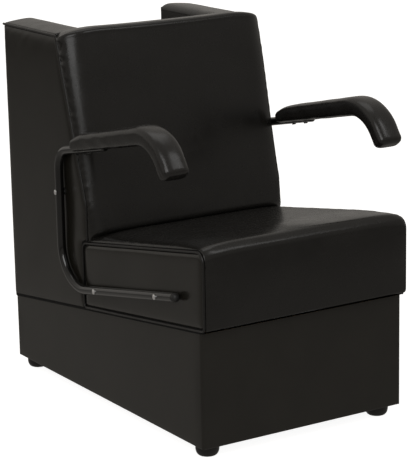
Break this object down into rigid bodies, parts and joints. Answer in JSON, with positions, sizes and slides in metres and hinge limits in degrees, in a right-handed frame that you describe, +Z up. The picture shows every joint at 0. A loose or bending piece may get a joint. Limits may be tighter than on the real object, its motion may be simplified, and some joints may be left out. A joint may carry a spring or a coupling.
{
  "type": "hooded dryer chair",
  "caption": "Upholstered salon dryer chair on a wedge-shaped box base, with a boxed seat and back, padded tube arms and an open dryer compartment behind the back.",
  "frame": {"origin": "middle of the chair's bounding box at floor level, where the four feet stand", "axes": "+Z up, +Y towards the rear of the chair, +X towards the sitter's left; the seat faces -Y"},
  "size_m": [0.6796, 0.9617, 0.947],
  "materials": {
    "vinyl": "black upholstery vinyl with a fine grain and a soft sheen",
    "piping_vinyl": "black vinyl drawn over a cord",
    "pad_vinyl": "black vinyl, glossier than the panels",
    "dust_cloth": "black non-woven dust cloth",
    "foam": "cream polyurethane foam",
    "felt": "grey needled felt",
    "foot_plastic": "black moulded plastic, satin",
    "black_plastic": "black moulded plastic",
    "spring_wire": "drawn spring wire",
    "tube_paint": "gloss black enamel on steel tube",
    "chrome": "bright plated domed heads",
    "zinc_steel": "zinc plated steel",
    "black_steel": "blackened steel screws",
    "plywood": "unfinished plywood and hardwood"
  },
  "bodies": {
    "root": {"base_left_panel": "plywood", "base_right_panel": "plywood", "base_front_panel": "plywood", "base_rear_panel": "plywood", "base_corner_blocks": "plywood", "base_deck": "plywood", "base_cover": "vinyl", "dust_cover": "dust_cloth", "foot_front_left": "foot_plastic", "foot_front_right": "foot_plastic", "foot_rear_left": "foot_plastic", "foot_rear_right": "foot_plastic", "foot_screws": "zinc_steel", "seat_left_rail": "plywood", "seat_right_rail": "plywood", "seat_cross_rails": "plywood", "seat_corner_blocks": "plywood", "unit_bolts": "zinc_steel", "seat_spring_1": "spring_wire", "seat_spring_2": "spring_wire", "seat_spring_3": "spring_wire", "seat_spring_4": "spring_wire", "seat_spring_5": "spring_wire", "spring_clips": "black_plastic", "seat_insulator": "felt", "seat_foam": "foam", "seat_cover": "vinyl", "seat_side_cover_left": "vinyl", "seat_side_cover_right": "vinyl", "seat_piping_left": "piping_vinyl", "seat_piping_right": "piping_vinyl", "wing_left_outer_panel": "plywood", "wing_right_outer_panel": "plywood", "wing_left_inner_panel": "plywood", "wing_right_inner_panel": "plywood", "wing_spacers": "plywood", "wing_side_cover_left": "vinyl", "wing_side_cover_right": "vinyl", "wing_top_cover_left": "vinyl", "wing_top_cover_right": "vinyl", "wing_piping_left": "piping_vinyl", "wing_piping_right": "piping_vinyl", "back_board": "plywood", "back_rails": "plywood", "back_foam": "foam", "back_cover": "vinyl", "rear_panel": "plywood", "rear_cover": "vinyl", "dryer_shelf": "plywood", "shelf_cleats": "plywood", "arm_tube_left": "tube_paint", "arm_tube_right": "tube_paint", "arm_plugs": "black_plastic", "arm_bolts": "chrome", "arm_nuts": "zinc_steel", "arm_washers": "black_plastic", "arm_pad_left": "pad_vinyl", "arm_pad_right": "pad_vinyl", "arm_pad_boards": "plywood", "arm_pad_screws": "black_steel"}
  },
  "joints": []
}
